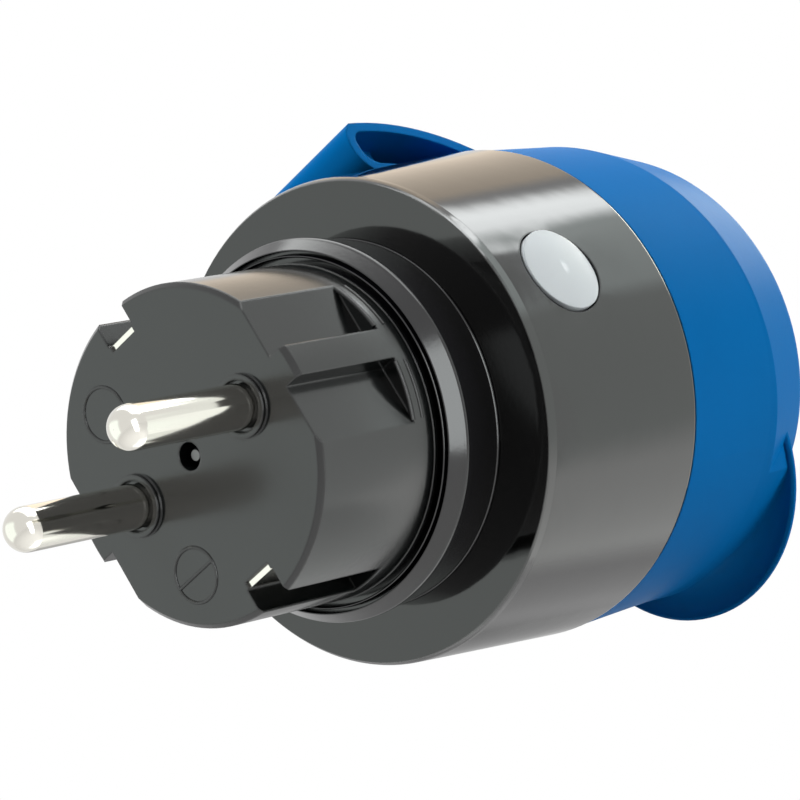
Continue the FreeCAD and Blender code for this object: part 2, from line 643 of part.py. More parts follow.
def button_cap():
    """Round button with a flange behind the housing's boss and a groove for its seal."""
    edge = BUTTON_FACE - BUTTON_CROWN
    flange = BUTTON_INNER + BUTTON_FLANGE_THICKNESS
    groove_in = BUTTON_BOSS_FACE + BUTTON_GROOVE_PLACE
    groove_out = groove_in + BUTTON_GROOVE_WIDTH
    groove = BUTTON_RADIUS - BUTTON_GROOVE_DEPTH
    drop = dome_drop(BUTTON_RADIUS, BUTTON_CROWN)

    def place(distance, radius):
        return V(-distance, -BUTTON_DEPTH, BUTTON_HEIGHT + radius)

    steps = [(BUTTON_FACE, 0), (BUTTON_INNER, 0), (BUTTON_INNER, BUTTON_FLANGE_RADIUS),
             (flange, BUTTON_FLANGE_RADIUS), (flange, BUTTON_RADIUS), (groove_in, BUTTON_RADIUS),
             (groove_in, groove), (groove_out, groove), (groove_out, BUTTON_RADIUS),
             (edge, BUTTON_RADIUS)]
    places = [place(*step) for step in steps]
    edges = [line(places[i], places[i + 1]) for i in range(len(places) - 1)]
    edges.append(arc(places[-1], place(BUTTON_FACE - drop, BUTTON_RADIUS / 2), places[0]))
    face = Part.Face(Part.Wire(edges))
    return face.revolve(V(0, -BUTTON_DEPTH, BUTTON_HEIGHT), V(1, 0, 0), 360)


def button_seal():
    """Ring in the button's groove, a hair clear of the housing's hole."""
    middle = BUTTON_BOSS_FACE + BUTTON_GROOVE_PLACE + BUTTON_GROOVE_WIDTH / 2
    x0, x1 = -middle - BUTTON_SEAL_HALF, -middle + BUTTON_SEAL_HALF
    outer = cross_rod(BUTTON_RADIUS + BUTTON_CLEARANCE - SEAL_BITE, x0, x1, BUTTON_DEPTH,
                      BUTTON_HEIGHT)
    inner = cross_rod(BUTTON_RADIUS - BUTTON_GROOVE_DEPTH, x0 - 1, x1 + 1, BUTTON_DEPTH,
                      BUTTON_HEIGHT)
    return outer.cut(inner)


def switch_parts():
    """Push switch on the control board, and its plunger, which the button moves."""
    board = CONTROL_BOARD_FACE
    top = board + SWITCH_HEIGHT
    half = SWITCH_SIZE / 2
    case = block(-top, -board, BUTTON_DEPTH - half, BUTTON_DEPTH + half,
                 BUTTON_HEIGHT - half, BUTTON_HEIGHT + half)
    well_depth = PLUNGER_DEPTH + BUTTON_TRAVEL + 2 * FIT
    well = cross_rod(PLUNGER_RADIUS + PLUNGER_CLEARANCE, -top - 1, -top + well_depth,
                     BUTTON_DEPTH, BUTTON_HEIGHT)
    plunger = cross_rod(PLUNGER_RADIUS, -BUTTON_INNER, -top + PLUNGER_DEPTH, BUTTON_DEPTH,
                        BUTTON_HEIGHT)
    return case.cut(well), plunger


def lid_side(wall, rear):
    """Turned body of the lid's side, before its front end is cut."""
    past = LID_FRONT + LID_RIM_RADIUS / 3
    crease = LID_CREASE_RADIUS - wall
    body = spun([(0, rear), (LID_RIM_RADIUS - wall, rear), (crease, LID_CREASE),
                 (crease, past), (0, past)])
    body.rotate(V(0, 0, 0), V(0, 1, 0), 130)
    return body


def lid_front(wall):
    """Tapered, slightly crowned front end of the lid, leaning back towards the hinge."""
    slope = LID_TAPER / (LID_FRONT_ROUND - LID_CREASE)
    reach = LID_RIM_RADIUS
    front = LID_FRONT - wall
    start = point(0, front + LID_CROWN, 0)
    face = point(LID_FACE_RADIUS - wall * 0.5, front, 0)
    shoulder = point(LID_FRONT_RADIUS - wall, LID_FRONT_ROUND - wall * 0.3, 0)
    middle = point((face.x + shoulder.x) / 2 + LID_EDGE_BULGE,
                   (-face.y - shoulder.y) / 2 + LID_EDGE_BULGE, 0)
    base_depth = LID_FRONT_ROUND - wall * 0.3 - reach
    base = point(LID_FRONT_RADIUS - wall + slope * reach, base_depth, 0)
    crown = point(face.x / 2, front + LID_CROWN - dome_drop(face.x, LID_CROWN), 0)
    edges = [arc(start, crown, face), arc(face, middle, shoulder), line(shoulder, base),
             line(base, point(0, base_depth, 0)), line(point(0, base_depth, 0), start)]
    solid = spun_edges(edges)
    solid.rotate(point(0, LID_CREASE, 0), V(1, 0, 0), -LID_TILT)
    return solid


def finger_tab():
    """Flared lip below the lid, turned about its own axis so that its rim is even."""
    rim = TAB_RADIUS
    rear = TAB_FRONT - TAB_THICKNESS
    across = rim - TAB_ROOT_RADIUS
    along = rear - TAB_ROOT_DEPTH
    middle = point(TAB_ROOT_RADIUS + across * TAB_HOLLOW, TAB_ROOT_DEPTH + along * (1 - TAB_HOLLOW), 0)
    round_off = TAB_THICKNESS * 0.3
    corners = [point(0, TAB_FRONT + TAB_CROWN, 0), point(rim - round_off, TAB_FRONT, 0),
               point(rim, TAB_FRONT - round_off, 0), point(rim, rear + round_off, 0),
               point(rim - round_off, rear, 0)]
    edges = [line(corners[i], corners[i + 1]) for i in range(len(corners) - 1)]
    root = point(TAB_ROOT_RADIUS, TAB_ROOT_DEPTH, 0)
    low = point(0, TAB_ROOT_DEPTH, 0)
    edges += [arc(corners[-1], middle, root), line(root, low), line(low, corners[0])]
    tab = spun_edges(edges)
    tab.translate(V(0, 0, -TAB_CENTRE))
    return tab


def tab_backing():
    """The lid's side carried on to the tab, so that no groove is left beside it."""
    half = TAB_THICKNESS / 2
    behind = rod(TAB_RADIUS - half, LID_CREASE - LID_GAP, TAB_FRONT - half, 0, -TAB_CENTRE)
    return behind.common(lid_side(0, LID_REAR))


def from_hinge(step):
    """A place given by its steps in depth and height from the middle of the hinge pin."""
    return point(0, HINGE_DEPTH + step[0], HINGE_HEIGHT + step[1])


def hood_outline(inset):
    """Side outline of the hood: a bent roof that ends in a round nose."""
    nose = from_hinge((HOOD_NOSE[0] + inset, HOOD_NOSE[1] - inset))
    middle = from_hinge((HOOD_MIDDLE[0], HOOD_MIDDLE[1] - inset))
    end = from_hinge((HOOD_END[0] - 2 * inset, HOOD_END[1]))
    foot = from_hinge((HOOD_END[0] - 2 * inset, HOOD_END[1] - HOOD_FOOT))
    radius = KNUCKLE_RADIUS if inset == 0 else KNUCKLE_BORE
    corner = from_hinge((-0.90 * radius, 0.50 * radius))
    rear = from_hinge((-radius, 0.08 * radius))
    under = from_hinge((-0.77 * radius, -0.64 * radius))
    low = from_hinge((0, -radius))
    return [arc(end, middle, nose), arc(nose, corner, rear), arc(rear, under, low),
            line(low, foot), line(foot, end)]


def hood():
    """Solid of the hood's outside, and what is cut out of it."""
    solid = pushed(hood_outline(0), HOOD_HALF_WIDTH)
    hollow = pushed(hood_outline(HOOD_WALL), HOOD_HALF_WIDTH + 1)
    hollow = hollow.cut(rod(LID_RIM_RADIUS, LID_REAR - SNUG, LID_FRONT))
    eye_room = hinge_rod(EAR_RADIUS + EAR_CLEARANCE, CHEEK_INNER)
    return solid, [hollow, eye_room]


def hinge_rod(radius, half_width):
    """Cylinder about the hinge's axis, to both sides of the middle."""
    return cross_rod(radius, -half_width, half_width, HINGE_DEPTH, HINGE_HEIGHT)


def cheeks(solid):
    """Two discs inside the hood that hold the ends of the hinge pin."""
    disc = cross_rod(KNUCKLE_RADIUS - CHEEK_INSET, CHEEK_INNER, CHEEK_OUTER, HINGE_DEPTH,
                     HINGE_HEIGHT)
    web = block(CHEEK_INNER, CHEEK_OUTER, HINGE_DEPTH, HINGE_DEPTH + KNUCKLE_RADIUS,
                HINGE_HEIGHT, HINGE_HEIGHT + KNUCKLE_RADIUS)
    cheek = disc.fuse(web).common(solid)
    return [cheek, cheek.mirror(V(0, 0, 0), V(1, 0, 0))]


def seal_rib(outer):
    """Round rib inside the lid that carries the seal."""
    inner = RECESS_RADIUS + LID_SEAL_OUTSET
    back = INSERT_FRONT + LID_GAP + LID_SEAL_THICKNESS
    front = LID_FRONT + LID_WALL
    return spun([(inner, back), (inner + LID_SEAL_WIDTH, back), (inner + LID_SEAL_WIDTH, front),
                 (inner, front)]).common(outer)


def lid():
    outer = lid_side(0, LID_REAR).common(lid_front(0))
    cavity = lid_side(LID_WALL, LID_REAR - 1).common(lid_front(LID_WALL))
    solid, cuts = hood()
    body = outer.fuse(tab_backing()).fuse(finger_tab()).fuse(solid)
    over_housing = rod(HOUSING_RADIUS + LID_GAP, HOUSING_REAR, LID_REAR)
    over_housing = over_housing.cut(hinge_rod(KNUCKLE_RADIUS, HOOD_HALF_WIDTH + 1))
    body = cut_all(body, [cavity, over_housing] + cuts)
    body = fuse_all([body] + cheeks(solid) + [seal_rib(outer)])
    return cut_all(body, [hinge_rod(HINGE_PIN_RADIUS, CHEEK_OUTER + 1), ear_sweep()])


def ear_sweep():
    """Room in the knuckle for the housing's ear over the whole swing of the lid."""
    half = EAR_HALF_WIDTH + EAR_CLEARANCE
    reach = KNUCKLE_RADIUS * 4 / 3
    steps = 12
    turn = EAR_SWEEP_END + LID_OPEN - EAR_SWEEP_START
    corners = [(HINGE_DEPTH, HINGE_HEIGHT)]
    for i in range(steps + 1):
        angle = math.radians(EAR_SWEEP_START + turn * i / steps)
        corners.append((HINGE_DEPTH + reach * math.cos(angle),
                        HINGE_HEIGHT - reach * math.sin(angle)))
    sector = side_polygon(corners, -half, half)
    return sector.common(hinge_rod(KNUCKLE_RADIUS + POCKET_CLEARANCE, half))


def lid_seal():
    inner = RECESS_RADIUS + LID_SEAL_OUTSET
    back = INSERT_FRONT + LID_GAP
    front = back + LID_SEAL_THICKNESS
    return spun([(inner, back), (inner + LID_SEAL_WIDTH, back), (inner + LID_SEAL_WIDTH, front),
                 (inner, front)])


def hinge_pin():
    return hinge_rod(HINGE_PIN_RADIUS, CHEEK_OUTER)


def hinge_spring():
    """Two small coils of flat wire on the hinge pin, one each side of the ear."""
    room = CHEEK_INNER - EAR_HALF_WIDTH - 2 * SPRING_GAP
    length = room - 2 * SPRING_WIRE
    low, high = SPRING_RADIUS - SPRING_WIRE, SPRING_RADIUS + SPRING_WIRE
    corners = [V(low, 0, -SPRING_WIRE), V(high, 0, -SPRING_WIRE), V(high, 0, SPRING_WIRE),
               V(low, 0, SPRING_WIRE)]
    section = Part.makePolygon(corners + corners[:1])
    path = Part.Wire(Part.makeHelix(length / SPRING_TURNS, length, SPRING_RADIUS))
    coil = path.makePipeShell([section], True, True)
    leg = Part.makeCylinder(SPRING_WIRE, SPRING_LEG, V(SPRING_RADIUS, 0, length), V(0, 1, 0))
    foot = Part.makeCylinder(SPRING_WIRE, SPRING_LEG, V(SPRING_RADIUS, 0, 0), V(0, -1, 0))
    one = fuse_all([coil, leg, foot])
    one.rotate(V(0, 0, 0), V(0, 1, 0), 90)
    one.rotate(V(0, 0, 0), V(1, 0, 0), SPRING_TURNED)
    one.translate(V(EAR_HALF_WIDTH + SPRING_GAP + SPRING_WIRE, -HINGE_DEPTH, HINGE_HEIGHT))
    other = one.mirror(V(0, 0, 0), V(1, 0, 0))
    return Part.makeCompound([one, other])


def on_board(place, radius, length, side):
    """Round part that stands on the main board, above or below the middle."""
    height = side * (HOUSING_INNER_RADIUS - place[1])
    return rod(radius, BOARD_BACK - length, BOARD_BACK, place[0], height)


def choke():
    cheek = on_board(CHOKE_PLACE, CHOKE_RADIUS, CHOKE_CHEEK, -1)
    core = on_board(CHOKE_PLACE, CHOKE_WAIST, CHOKE_LENGTH, -1)
    far_cheek = cheek.copy()
    far_cheek.translate(V(0, CHOKE_LENGTH - CHOKE_CHEEK, 0))
    return fuse_all([core, cheek, far_cheek])


def parts_on_board():
    """Electrical parts that stand on the boards."""
    switch, plunger = switch_parts()
    front = BOARD_BACK
    film_top = HOUSING_INNER_RADIUS - FILM_PLACE[1]
    inner = -CONTROL_BOARD_FACE + CONTROL_BOARD_THICKNESS
    half_light = LIGHT_SIZE / 2
    return {
        "relay": block(RELAY_X, RELAY_X + RELAY_WIDTH, RELAY_BACK, front,
                       -RELAY_HALF_HEIGHT, RELAY_HALF_HEIGHT),
        "film_capacitor": block(FILM_PLACE[0], FILM_PLACE[0] + FILM_SIZE[0],
                                front - FILM_SIZE[1], front, film_top - FILM_SIZE[2], film_top),
        "smoothing_capacitor": on_board(CAN_PLACE, CAN_RADIUS, CAN_LENGTH, 1),
        "thermal_fuse": on_board(FUSE_PLACE, FUSE_RADIUS, FUSE_LENGTH, -1),
        "choke": choke(),
        "radio_module": block(inner, inner + RADIO_THICKNESS, front - RADIO_GAP - RADIO_LENGTH,
                              front - RADIO_GAP, -RADIO_HALF_HEIGHT, RADIO_HALF_HEIGHT),
        "status_led": block(-CONTROL_BOARD_FACE - LIGHT_HEIGHT, -CONTROL_BOARD_FACE,
                            BUTTON_DEPTH - half_light, BUTTON_DEPTH + half_light,
                            LIGHT_LOW, LIGHT_LOW + LIGHT_SIZE),
        "push_switch": switch,
        "switch_plunger": plunger,
    }


nodes = {
    "plug_body": plug_body(),
    "pin_left": pin(-PIN_X),
    "pin_right": pin(PIN_X),
    "earth_strip_top": earth_strip(),
    "earth_strip_bottom": flipped(earth_strip()),
    "plug_ring": plug_ring(),
    "main_housing": main_housing(),
    "socket_insert": socket_insert(),
    "socket_floor": socket_floor(),
    "centre_screw": centre_screw(),
    "housing_seal": housing_seal(),
    "earth_spring_top": earth_spring(),
    "earth_spring_bottom": flipped(earth_spring()),
    "earth_bridge": earth_bridge(),
    "contact_left": contact(-PIN_X, PIN_SHANK_END + SHEET + CONTACT_STEP),
    "contact_right": contact(PIN_X, PIN_SHANK_END),
    "live_bar": live_bar(),
    "switched_bar": switched_bar(),
    "main_board": main_board(),
    "control_board": control_board(),
    "button_cap": button_cap(),
    "button_seal": button_seal(),
    "lid": lid(),
    "lid_seal": lid_seal(),
    "hinge_pin": hinge_pin(),
    "hinge_spring": hinge_spring(),
}
nodes.update(parts_on_board())

for name, shape in nodes.items():
    shape.exportStep("parts/" + name + ".step")
    print(name, "valid" if shape.isValid() else "NOT VALID", len(shape.Solids), "solids",
          round(shape.Volume, 1), "mm3")
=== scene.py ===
# %% [markdown]
# # An outdoor plug-in socket, dressed for its picture
# The solid model of this socket already exists and is loaded as a fixed frame: a plug with two
# pins behind, a glossy round housing, and a blue lid on a hinge in front.  This lesson gives every
# piece its finish, adds the fine trim, and sets up camera and light.  Everything is in metres,
# with the origin in the middle of the plug's face.  The axis of the object is y: the pins point to
# +y, and "depth" below is the distance from the face towards -y.

# %% Load the frame
import math

import bmesh
import bpy
from mathutils import Matrix, Vector


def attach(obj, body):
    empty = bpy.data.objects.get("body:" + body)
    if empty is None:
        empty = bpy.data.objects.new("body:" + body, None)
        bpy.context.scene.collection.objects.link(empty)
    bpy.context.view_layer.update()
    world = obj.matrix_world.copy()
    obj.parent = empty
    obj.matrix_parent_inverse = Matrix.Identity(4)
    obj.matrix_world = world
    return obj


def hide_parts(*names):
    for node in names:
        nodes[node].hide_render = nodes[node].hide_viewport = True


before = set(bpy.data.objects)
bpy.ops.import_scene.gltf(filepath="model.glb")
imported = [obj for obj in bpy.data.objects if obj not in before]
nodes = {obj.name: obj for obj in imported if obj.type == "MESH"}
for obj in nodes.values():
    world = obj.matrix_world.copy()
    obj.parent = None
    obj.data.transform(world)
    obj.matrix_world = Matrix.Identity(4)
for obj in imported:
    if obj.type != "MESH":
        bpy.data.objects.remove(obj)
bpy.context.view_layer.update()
MM = 0.001

# %% [markdown]
# ## Camera
# The picture is taken from behind and below, through a long lens, so the pins come towards us and
# the lid is the far end.  A camera can be aimed by eye, but here its three axes are written out,
# because then every edge lands where it should: the row for "right", the row for "up" and the row
# for "back" are the columns of its turn.

# %% Set the camera
SIGHT_RIGHT = Vector((-0.5900, -0.6429, -0.4884))
SIGHT_UP = Vector((-0.5476, -0.1259, 0.8272))
SIGHT_BACK = Vector((-0.5934, 0.7555, -0.2777))
SIGHT_PLACE = Vector((-0.31214, 0.36244, -0.14442))
FILM_WIDTH = 36.0
LENS_LENGTH = 218.4
SIGHT_NEAR, SIGHT_FAR = 0.01, 20.0

lens = bpy.data.cameras.new("product_camera")
lens.sensor_width = FILM_WIDTH
lens.lens = LENS_LENGTH
lens.clip_start, lens.clip_end = SIGHT_NEAR, SIGHT_FAR
camera = bpy.data.objects.new("product_camera", lens)
bpy.context.scene.collection.objects.link(camera)
turn = Matrix((SIGHT_RIGHT, SIGHT_UP, SIGHT_BACK)).transposed()
camera.matrix_world = Matrix.Translation(SIGHT_PLACE) @ turn.to_4x4()
bpy.context.scene.camera = camera
print("camera stands", round(SIGHT_PLACE.length, 3), "m from the plug's face")

# %% [markdown]
# ## A helper for sums in a node tree
# Most finishes below need small sums between nodes.  They could be wired by hand each time, but
# one helper keeps the lesson short: it takes numbers or sockets, and gives back the socket of the
# result.  A second one asks a Light Path node who is looking, so that a surface can be white to the
# eye and to reflections, and still give little soft light.

# %% Sums with nodes


def calc(net, operation, first, second=0.0):
    """One Math node, fed by two numbers or sockets."""
    node = net.nodes.new("ShaderNodeMath")
    node.operation = operation
    for socket, value in zip(node.inputs, (first, second)):
        if isinstance(value, float):
            socket.default_value = value
        else:
            net.links.new(value, socket)
    return node.outputs[0]


def seen_by(net, first, *others):
    """1 for the kinds of ray that are named, 0 for all the rest."""
    rays = net.nodes.new("ShaderNodeLightPath")
    seen = rays.outputs[first]
    for kind in others:
        seen = calc(net, "MAXIMUM", seen, rays.outputs[kind])
    return seen


print("helpers ready:", calc.__name__, "and", seen_by.__name__)

# %% [markdown]
# ## The room
# Glossy black plastic shows hardly any colour of its own.  What we see on it is the room, so the
# room is the real finish of the housing.  The world is plain white to the eye and to reflections,
# and a dim even grey for soft light, so that the background is white and the object isn't flooded.

# %% White world
SOFT_LIGHT = 0.15
WHITE_LIGHT = 1.0

world = bpy.data.worlds.new("studio")
bpy.context.scene.world = world
world.use_nodes = True
sky = world.node_tree
sky.nodes.clear()
soft = sky.nodes.new("ShaderNodeBackground")
soft.inputs["Color"].default_value = (1.0, 1.0, 1.0, 1)
soft.inputs["Strength"].default_value = SOFT_LIGHT
white = sky.nodes.new("ShaderNodeBackground")
white.inputs["Color"].default_value = (1.0, 1.0, 1.0, 1)
white.inputs["Strength"].default_value = WHITE_LIGHT
mixer = sky.nodes.new("ShaderNodeMixShader")
output = sky.nodes.new("ShaderNodeOutputWorld")
sky.links.new(seen_by(sky, "Is Camera Ray", "Is Glossy Ray", "Is Transmission Ray"),
              mixer.inputs["Fac"])
sky.links.new(soft.outputs[0], mixer.inputs[1])
sky.links.new(white.outputs[0], mixer.inputs[2])
sky.links.new(mixer.outputs[0], output.inputs["Surface"])
print("world is white, with soft light of", SOFT_LIGHT)

# %% [markdown]
# ## Cards
# A photographer stands cards round a glossy object to paint its reflections.  Ours are flat sheets
# that only reflections see.  Lamps with hard outlines would leave hard shapes on the gloss, so each
# card fades towards its four edges: its distance to the nearest edge, in both directions, drives
# how much of it glows and how much is clear.

# %% A glow with soft edges


def card_finish(title, colour, strength, edge):
    """A glow that fades to nothing towards the card's four edges."""
    material = bpy.data.materials.new(title)
    material.use_nodes = True
    net = material.node_tree
    net.nodes.clear()
    place = net.nodes.new("ShaderNodeTexCoord")
    sides = net.nodes.new("ShaderNodeSeparateXYZ")
    net.links.new(place.outputs["UV"], sides.inputs[0])
    fades = []
    for side in ("X", "Y"):
        fade = net.nodes.new("ShaderNodeMapRange")
        fade.interpolation_type = "SMOOTHSTEP"
        fade.inputs["From Max"].default_value = 0.5 * edge
        net.links.new(calc(net, "PINGPONG", sides.outputs[side], 0.5), fade.inputs["Value"])
        fades.append(fade.outputs[0])
    glow = net.nodes.new("ShaderNodeEmission")
    glow.inputs["Color"].default_value = (*colour, 1)
    glow.inputs["Strength"].default_value = strength
    clear = net.nodes.new("ShaderNodeBsdfTransparent")
    blend = net.nodes.new("ShaderNodeMixShader")
    out = net.nodes.new("ShaderNodeOutputMaterial")
    net.links.new(calc(net, "MULTIPLY", *fades), blend.inputs["Fac"])
    net.links.new(clear.outputs[0], blend.inputs[1])
    net.links.new(glow.outputs[0], blend.inputs[2])
    net.links.new(blend.outputs[0], out.inputs["Surface"])
    return material


print("helper ready:", card_finish.__name__)

# %% A card
MIDDLE = Vector((0.0, -0.035, 0.0))


def card(title, centre, across, along, colour, strength, edge):
    """A card from its centre and its two full sides, seen by reflections only."""
    mesh = bpy.data.meshes.new(title)
    sheet = bmesh.new()
    layer = sheet.loops.layers.uv.new("UVMap")
    spots = ((0, 0), (1, 0), (1, 1), (0, 1))
    middle, across, along = MIDDLE + Vector(centre), Vector(across), Vector(along)
    corners = [sheet.verts.new(middle + across * (u - 0.5) + along * (v - 0.5)) for u, v in spots]
    face = sheet.faces.new(corners)
    for loop, spot in zip(face.loops, spots):
        loop[layer].uv = spot
    sheet.to_mesh(mesh)
    sheet.free()
    mesh.materials.append(card_finish(title, colour, strength, edge))
    item = bpy.data.objects.new(title, mesh)
    bpy.context.scene.collection.objects.link(item)
    item.visible_camera = False
    item.visible_shadow = False
    item.visible_diffuse = False


print("cards are placed from", tuple(MIDDLE))

# %% [markdown]
# Every row below is one card: its name, its centre and its two sides as arrows in metres, then its
# colour, its strength (1 is white paper) and how much of it fades.  The places come from the law of
# reflection: a side of the housing that faces left shows what stands to the left and in front.

# %% Stand the cards round the object
CARDS = (
    # the wall that shows in the flat faces towards us
    ("left_wall", (0.69, 0.90, 0.33), (-1.37, 1.05, 0.0), (-0.40, -0.50, 1.60),
     (0.94, 1.0, 0.97), 1.5, 0.4),
    # the lights above
    ("top_box", (-0.92, -0.606, 1.0), (-1.87, 0.342, 0.0), (-0.915, -1.433, 0.0),
     (0.98, 1.0, 0.99), 3.8, 0.2),
    ("hot_spot", (-0.87, -1.25, 0.97), (-0.92, 0.168, 0.0), (-0.484, -0.759, 0.0),
     (0.97, 1.0, 1.0), 6.3, 0.35),
    ("upper_right", (-0.24, -0.365, 0.135), (-0.13, 0.0, -0.22), (0.0, -0.22, 0.0),
     (0.92, 1.0, 0.98), 2.2, 0.4),
    ("warm_top", (0.20, -0.91, 0.74), (0.80, 0.0, 0.0), (0.0, 0.30, 0.36),
     (1.0, 0.86, 0.70), 1.5, 0.35),
    # the room beside and below
    ("right_side", (-0.285, -0.75, -0.3375), (1.09, 0.0, 0.0), (0.0, 0.0, 1.05),
     (0.95, 1.0, 0.97), 1.4, 0.2),
    ("low_glow", (-0.05, -0.74, -0.58), (0.80, 0.0, 0.0), (0.0, 0.0, 0.45),
     (0.99, 1.0, 0.98), 1.9, 0.5),
    ("low_table", (0.34, -0.44, -0.85), (0.85, 0.0, 0.0), (0.0, 0.81, 0.0),
     (0.97, 1.0, 0.97), 2.3, 0.3),
    ("dark_low", (0.80, -0.725, -0.05), (0.60, 0.0, 0.0), (0.0, 0.0, 0.80),
     (1.0, 1.0, 1.0), 0.5, 0.5),
    # a box beside the camera for the ring's cone, and a glow behind the lid
    ("camera_box", (-0.7, 0.315, -0.35), (0.0, 0.37, 0.0), (0.0, 0.0, 0.98),
     (0.96, 1.0, 1.0), 5.5, 0.2),
    ("back_glow", (0.0, -1.05, 0.32), (0.80, 0.0, 0.0), (0.0, 0.0, 0.46),
     (0.98, 1.0, 0.90), 9.0, 0.4),
)
for row in CARDS:
    card(*row)
print(len(CARDS), "cards stand round the object")

# %% [markdown]
# A far card shows on the plug's side and on the housing alike, because both face the same way.
# Three small cards close to the plug stand in the way of the far ones, so that its side gets an
# even tone of its own.  Each has its centre, its side across the plug, and its strength.

# %% Small cards near the plug
SHADE_ALONG = (0.0, 0.029, 0.0)
SHADE_COLOUR = (0.97, 1.0, 0.98)
SHADE_EDGE = 0.3
SHADES = (
    ((-0.0564, -0.019, 0.0205), (0.0294, 0.0, 0.0808), 1.1),
    ((-0.0460, -0.019, -0.0386), (-0.0553, 0.0, 0.0659), 1.35),
    ((0.0104, -0.019, -0.0591), (-0.0847, 0.0, -0.0150), 1.1),
)
for number, (centre, across, strength) in enumerate(SHADES, 1):
    card(f"plug_shade_{number}", centre, across, SHADE_ALONG, SHADE_COLOUR, strength, SHADE_EDGE)
print(len(SHADES), "small cards lie near the plug")

# %% [markdown]
# ## Lamps and floor
# The blue lid and the white button do have a colour of their own, so they need soft lamps.  These
# are hidden from reflections, because the cards look after those.  They are weak enough that a
# colour renders about as it is written.  The floor is matt white paper far below, which keeps the
# object's shadow and looks white to the eye and to reflections.

# %% Lamps
LAMP_DISTANCE = 1.0
LAMPS = (
    ("key_lamp", (-0.85, -0.50, 0.15), 0.5, 6.0, (1.0, 1.0, 1.0)),
    ("top_lamp", (-0.20, -0.30, 0.93), 0.5, 4.0, (1.0, 0.97, 0.93)),
    ("plug_lamp", (0.0, 0.60, 0.80), 0.5, 9.0, (1.0, 1.0, 1.0)),
    ("low_lamp", (-0.60, -0.65, -0.50), 0.6, 3.5, (1.0, 1.0, 1.0)),
    ("fill_lamp", (0.75, -0.60, 0.30), 0.6, 3.0, (1.0, 1.0, 1.0)),
)
for title, direction, size, power, colour in LAMPS:
    data = bpy.data.lights.new(title, "AREA")
    data.shape = "DISK"
    data.size = size
    data.energy = power
    data.color = colour
    item = bpy.data.objects.new(title, data)
    way = Vector(direction).normalized()
    item.location = MIDDLE + way * LAMP_DISTANCE
    item.rotation_mode = "QUATERNION"
    item.rotation_quaternion = way.to_track_quat("Z", "Y")
    item.visible_camera = False
    item.visible_glossy = False
    bpy.context.scene.collection.objects.link(item)
print(len(LAMPS), "lamps hang", LAMP_DISTANCE, "m away")

# %% Floor
FLOOR_HALF = 3.0
FLOOR_HEIGHT = -0.9
PAPER_SHADE = 0.6
PAPER_WHITE = 0.78
PAPER_ROUGH = 0.9

floor_mesh = bpy.data.meshes.new("studio_floor")
floor_mesh.from_pydata([(x * FLOOR_HALF, y * FLOOR_HALF, FLOOR_HEIGHT)
                        for x, y in ((-1, -1), (1, -1), (1, 1), (-1, 1))], [], [(0, 1, 2, 3)])
floor = bpy.data.objects.new("studio_floor", floor_mesh)
bpy.context.scene.collection.objects.link(floor)
floor_finish = bpy.data.materials.new("white_paper")
floor_finish.use_nodes = True
paper_net = floor_finish.node_tree
paper = paper_net.nodes["Principled BSDF"]
paper.inputs["Base Color"].default_value = (PAPER_SHADE, PAPER_SHADE, PAPER_SHADE, 1)
paper.inputs["Roughness"].default_value = PAPER_ROUGH
paper.inputs["Emission Strength"].default_value = PAPER_WHITE
paper_net.links.new(seen_by(paper_net, "Is Camera Ray", "Is Glossy Ray"),
                    paper.inputs["Emission Color"])
floor_mesh.materials.append(floor_finish)
print("floor lies at", FLOOR_HEIGHT, "m")

# %% [markdown]
# ## Finishes
# Moulded plastic is never one flat colour: the tool leaves a fine grain, the gloss is a little
# uneven, and the light catches every edge because no moulded edge is truly sharp.  A picture could
# be wrapped round each piece, but noise needs no picture and has no seams.  One helper builds such
# a finish from noise at two scales, and rounds edges in the shading alone with a Bevel node, so the
# solid's own shape stays as it is.

# %% A moulded finish
CLOUD_SCALE = 70.0
CLOUD_DETAIL = 3.0
GRAIN_DETAIL = 2.0
CLOUD_LOW, CLOUD_HIGH = 0.3, 0.7
SMOOTHEST = 0.02
EDGE_SAMPLES = 4
MILK_DEPTH = 0.002


